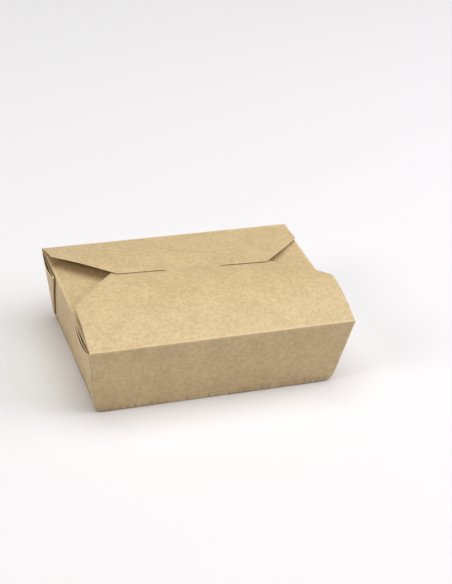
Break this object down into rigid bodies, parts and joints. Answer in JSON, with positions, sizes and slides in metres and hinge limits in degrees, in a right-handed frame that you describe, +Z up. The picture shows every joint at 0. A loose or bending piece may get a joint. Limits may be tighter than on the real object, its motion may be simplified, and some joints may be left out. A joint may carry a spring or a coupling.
{
  "type": "takeaway box",
  "caption": "Tapered folding carton in plain kraft board with webbed corners, end flaps folded in, a bowed front lid and a hinged tuck lid locked by a tongue in a slit.",
  "frame": {"origin": "On the underside of the base, at the middle of the carton's footprint", "axes": "+Z up, +X along the carton's length, -Y towards the front wall, +Y towards the rear wall that carries the tuck lid's hinge"},
  "size_m": [0.2162, 0.1562, 0.0751],
  "materials": {
    "kraft_board": "matte uncoated kraft"
  },
  "bodies": {
    "carton": {"carton": "kraft_board"},
    "lid": {"tuck_lid": "kraft_board", "lock_tongue": "kraft_board"}
  },
  "joints": [
    {"name": "lid_hinge", "type": "hinge", "parent": "carton", "child": "lid", "pos_m": [0, 0.07775, 0.06175], "axis": [-1, 0, 0], "range_deg": [0, 180], "deforming": ["lock_tongue"]}
  ]
}
